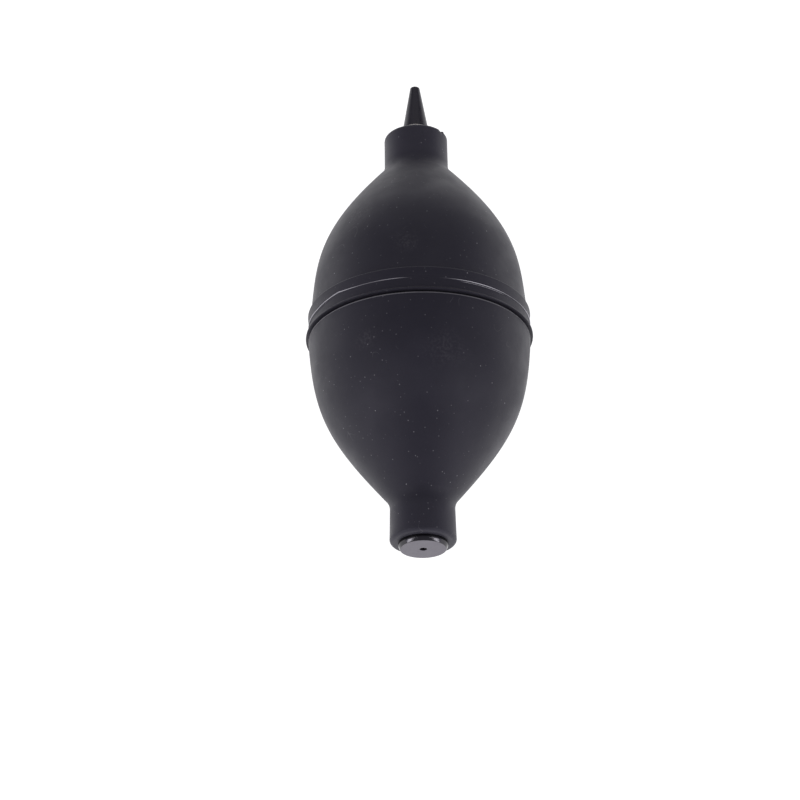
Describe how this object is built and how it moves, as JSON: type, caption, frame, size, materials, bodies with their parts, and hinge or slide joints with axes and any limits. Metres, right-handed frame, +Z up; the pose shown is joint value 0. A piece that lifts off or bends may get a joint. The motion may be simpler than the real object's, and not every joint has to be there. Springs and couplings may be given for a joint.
{
  "type": "dust blower bulb",
  "caption": "Hand-squeezed silicone air bulb with a raised lapped band, a screwed knurled nozzle at the front and a one-way air inlet button at the tail.",
  "frame": {"origin": "under the middle of the blower's overall length, at the height of the lowest point of the band's lip", "axes": "+Y along the blower's axis from the tail button to the nozzle tip, +Z up with the blower lying on its side"},
  "size_m": [0.0604, 0.1376, 0.0603],
  "materials": {
    "bulb_rubber": "satin black silicone, fine dust and faint scuffs",
    "seal_rubber": "smooth black nitrile",
    "nickel": "bright nickel plate, straight knurl",
    "black_metal": "satin black anodised, turned",
    "black_cap": "black anodised, turned satin face and bright shoulder",
    "sleeve_metal": "plain turned",
    "felt": "dark grey felt",
    "seat_plastic": "natural acetal",
    "ball_steel": "polished bearing steel",
    "spring_steel": "drawn stainless"
  },
  "bodies": {
    "bulb": {"front_bulb_half": "bulb_rubber", "rear_bulb_half": "bulb_rubber", "nozzle_socket": "sleeve_metal"},
    "nozzle_seal": {"nozzle_seal": "seal_rubber"},
    "nozzle": {"knurled_collar": "nickel", "nozzle_tip": "black_metal"},
    "tail_valve": {"inlet_cap": "black_cap", "valve_sleeve": "sleeve_metal", "inlet_filter": "felt", "valve_seat": "seat_plastic", "inlet_spring": "spring_steel", "spring_retainer": "spring_steel", "snap_ring": "spring_steel"},
    "inlet_ball": {"inlet_ball": "ball_steel"}
  },
  "joints": [
    {"name": "bulb_squeeze", "type": "slide", "parent": "bulb", "child": "tail_valve", "axis": [0, 1, 0], "range_m": [0, 0.018], "stiffness_N_per_m": 600, "deforming": ["rear_bulb_half"]},
    {"name": "inlet_ball_lift", "type": "slide", "parent": "tail_valve", "child": "inlet_ball", "axis": [0, 1, 0], "range_m": [0, 0.0012], "stiffness_N_per_m": 20, "springref_m": -0.002, "deforming": ["inlet_spring"]},
    {"name": "nozzle_travel", "type": "slide", "parent": "bulb", "child": "nozzle_seal", "axis": [0, 1, 0], "range_m": [0, 0.004]},
    {"name": "nozzle_turn", "type": "hinge", "parent": "nozzle_seal", "child": "nozzle", "pos_m": [0, 0.05, 0.03015], "axis": [0, 1, 0], "range_deg": [0, 1800]}
  ],
  "couplings": [
    {"joint": "nozzle_turn", "follows": "nozzle_travel", "rad_per_m": 7854}
  ]
}
